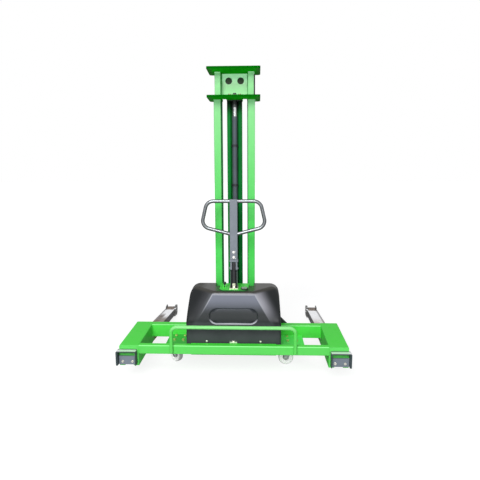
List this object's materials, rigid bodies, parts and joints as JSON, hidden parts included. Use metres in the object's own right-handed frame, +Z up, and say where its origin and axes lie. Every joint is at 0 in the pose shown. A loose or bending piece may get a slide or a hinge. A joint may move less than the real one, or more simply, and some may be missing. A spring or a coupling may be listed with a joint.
{
  "type": "self-loading stacker",
  "caption": "Walk-behind hydraulic stacker on straddling legs whose mast, head and forks rise together, so that it can lift its own base onto a truck bed.",
  "frame": {"origin": "centre of the footprint on the floor", "axes": "+X to the operator's right, +Y towards the fork tips, +Z up"},
  "size_m": [1.422, 1.54, 1.9115],
  "materials": {
    "green_paint": "gloss powder coat",
    "dark_green_paint": "gloss powder coat",
    "grey_paint": "satin paint",
    "dark_grey_paint": "satin paint",
    "black_paint": "satin paint",
    "worn_steel": "worn bare steel",
    "bright_steel": "ground",
    "zinc": "zinc plated",
    "yellow_zinc": "yellow zinc plated",
    "chrome": "polished",
    "nylon": "moulded, slightly cloudy",
    "cover_plastic": "fine moulded grain",
    "black_plastic": "moulded",
    "tank_plastic": "moulded",
    "hose_rubber": "matt",
    "button_plastic": "moulded"
  },
  "bodies": {
    "chassis": {"right_side_rail": "green_paint", "left_side_rail": "green_paint", "rear_crossbeam": "green_paint", "front_crossbeam": "green_paint", "base_tray": "green_paint", "push_bar": "green_paint", "end_brackets": "grey_paint", "end_plates": "grey_paint", "end_plate_bolts": "zinc", "castor_plates": "green_paint", "castor_bolts": "yellow_zinc", "castor_tops": "zinc", "leg_hinge_pins": "bright_steel", "cover": "cover_plastic", "cover_screws": "zinc", "battery": "black_plastic", "oil_tank": "tank_plastic", "pump_unit": "black_paint", "hydraulic_hose": "hose_rubber", "mast_foot": "green_paint", "centre_pillar": "dark_green_paint", "cylinder_barrel": "grey_paint", "cylinder_clamps": "dark_grey_paint", "tiller_plate": "green_paint", "tiller_post": "black_paint", "tiller_post_bolts": "zinc", "tiller_pin": "bright_steel"},
    "lift_frame": {"left_mast_column": "green_paint", "right_mast_column": "green_paint", "head_lower_plate": "green_paint", "head_top_plate": "green_paint", "head_face_plate": "green_paint", "head_back_plate": "dark_grey_paint", "piston_rod": "chrome", "rod_nut": "zinc", "head_bolts": "zinc", "fork_carriage": "dark_grey_paint", "guide_pads": "nylon", "left_fork": "dark_grey_paint", "right_fork": "dark_grey_paint"},
    "tiller": {"tiller_stem": "grey_paint", "tiller_loop": "grey_paint", "button_plate": "grey_paint"},
    "raising_button": {"raising_button": "button_plastic"},
    "lowering_button": {"lowering_button": "button_plastic"},
    "lowering_lever": {"lowering_lever": "black_plastic"},
    "main_switch": {"main_switch": "black_plastic"},
    "cover_latch": {"cover_latch": "zinc"},
    "left_castor_swivel": {"left_castor_fork": "zinc"},
    "left_castor_roll": {"left_castor_wheel": "nylon"},
    "left_leg": {"left_leg": "worn_steel", "left_leg_axle": "bright_steel"},
    "left_leg_roll": {"left_leg_roller": "black_plastic"},
    "right_castor_swivel": {"right_castor_fork": "zinc"},
    "right_castor_roll": {"right_castor_wheel": "nylon"},
    "right_leg": {"right_leg": "worn_steel", "right_leg_axle": "bright_steel"},
    "right_leg_roll": {"right_leg_roller": "black_plastic"}
  },
  "joints": [
    {"name": "lift", "type": "slide", "parent": "chassis", "child": "lift_frame", "axis": [0, 0, 1], "range_m": [0, 1.2]},
    {"name": "tiller_tilt", "type": "hinge", "parent": "chassis", "child": "tiller", "pos_m": [0, -0.57, 0.694], "axis": [1, 0, 0], "range_deg": [0, 75], "stiffness_Nm_per_rad": 25, "springref_deg": -17.19},
    {"name": "raising_button_press", "type": "slide", "parent": "tiller", "child": "raising_button", "axis": [0, 1, 0], "range_m": [0, 0.003], "stiffness_N_per_m": 800, "springref_m": -0.001},
    {"name": "lowering_button_press", "type": "slide", "parent": "tiller", "child": "lowering_button", "axis": [0, 1, 0], "range_m": [0, 0.003], "stiffness_N_per_m": 800, "springref_m": -0.001},
    {"name": "lowering_lever_tilt", "type": "hinge", "parent": "chassis", "child": "lowering_lever", "pos_m": [-0.058, -0.57, 0.582], "axis": [1, 0, 0], "range_deg": [-20, 20], "stiffness_Nm_per_rad": 0.6},
    {"name": "main_switch_turn", "type": "hinge", "parent": "chassis", "child": "main_switch", "pos_m": [0.065, -0.603, 0.577], "axis": [0, 0, 1], "range_deg": [0, 90]},
    {"name": "cover_latch_turn", "type": "hinge", "parent": "chassis", "child": "cover_latch", "pos_m": [0, -0.665, 0.25], "axis": [0, 1, 0], "range_deg": [0, 90]},
    {"name": "left_castor_swivel", "type": "hinge", "parent": "chassis", "child": "left_castor_swivel", "pos_m": [-0.378, -0.417, 0.14], "axis": [0, 0, 1], "continuous": true},
    {"name": "left_castor_roll", "type": "hinge", "parent": "left_castor_swivel", "child": "left_castor_roll", "pos_m": [-0.40711, -0.39257, 0.05], "axis": [0.6428, 0.766, 0], "continuous": true},
    {"name": "left_leg_drop", "type": "hinge", "parent": "chassis", "child": "left_leg", "pos_m": [-0.628, -0.34, 0.152], "axis": [-1, 0, 0], "range_deg": [0, 5]},
    {"name": "left_leg_roll", "type": "hinge", "parent": "left_leg", "child": "left_leg_roll", "pos_m": [-0.628, 0.58, 0.038], "axis": [1, 0, 0], "continuous": true},
    {"name": "right_castor_swivel", "type": "hinge", "parent": "chassis", "child": "right_castor_swivel", "pos_m": [0.378, -0.417, 0.14], "axis": [0, 0, 1], "continuous": true},
    {"name": "right_castor_roll", "type": "hinge", "parent": "right_castor_swivel", "child": "right_castor_roll", "pos_m": [0.34, -0.417, 0.05], "axis": [0, 1, 0], "continuous": true},
    {"name": "right_leg_drop", "type": "hinge", "parent": "chassis", "child": "right_leg", "pos_m": [0.628, -0.34, 0.152], "axis": [-1, 0, 0], "range_deg": [0, 5]},
    {"name": "right_leg_roll", "type": "hinge", "parent": "right_leg", "child": "right_leg_roll", "pos_m": [0.628, 0.58, 0.038], "axis": [1, 0, 0], "continuous": true}
  ]
}
